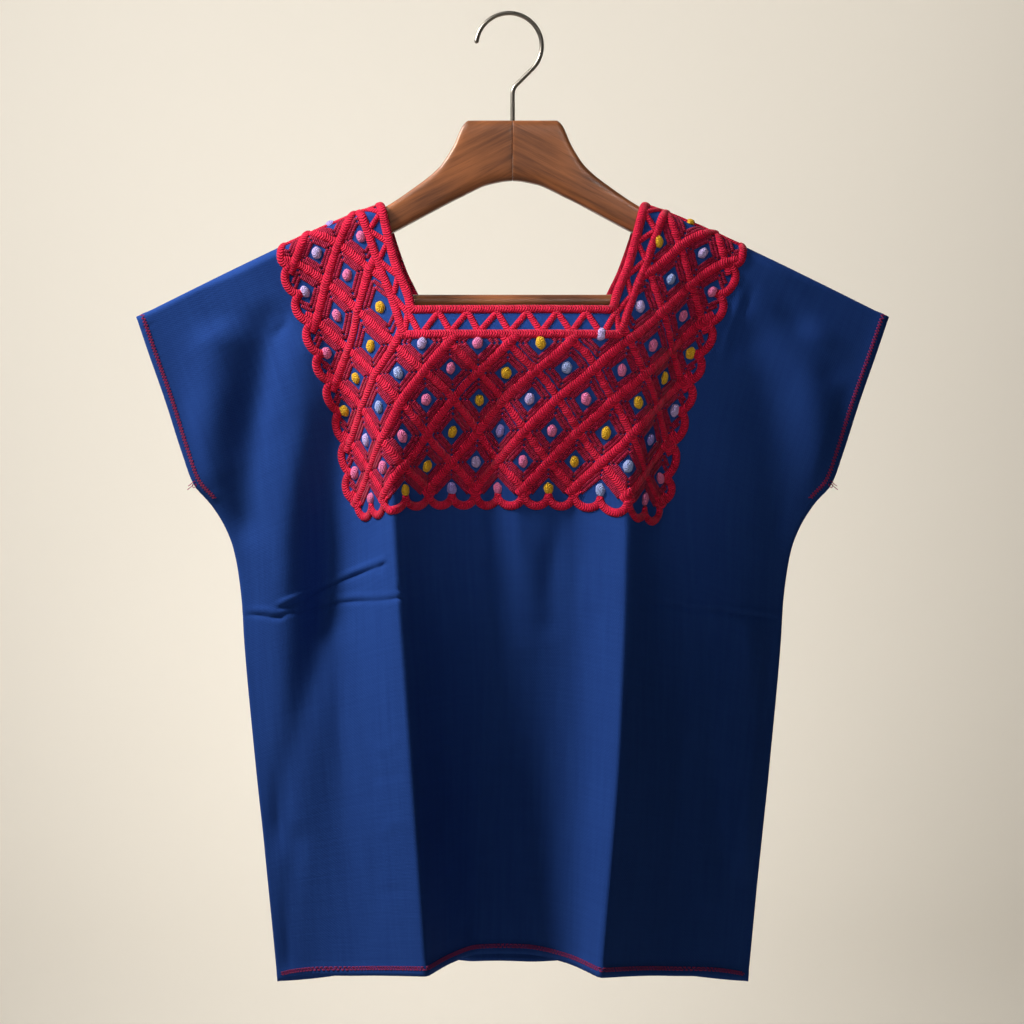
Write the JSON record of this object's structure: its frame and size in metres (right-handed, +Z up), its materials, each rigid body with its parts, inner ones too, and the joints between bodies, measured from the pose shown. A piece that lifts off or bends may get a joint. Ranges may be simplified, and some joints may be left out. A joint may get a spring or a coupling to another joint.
{
  "type": "blouse on a hanger",
  "caption": "Short-sleeved square-necked blouse with embroidered yokes, hung on a wooden hanger with a wire hook.",
  "frame": {"origin": "inner top of the hook, where the hanger is held", "axes": "+Z up along the hanger's stem, front of the blouse towards -Y, wearer's left towards +X"},
  "size_m": [0.602, 0.1538, 0.7759],
  "materials": {
    "cotton": "plain weave cotton, matt",
    "embroidery": "thick stranded embroidery, soft sheen",
    "walnut": "satin lacquer",
    "nickel": "satin nickel"
  },
  "bodies": {
    "root": {"front_panel": "cotton", "back_panel": "cotton", "front_yoke": "embroidery", "back_yoke": "embroidery", "front_neck_edging": "embroidery", "back_neck_edging": "embroidery", "hanger_arm_left": "walnut", "hanger_arm_right": "walnut", "hanger_bar": "walnut", "hanger_hook": "nickel"}
  },
  "joints": []
}
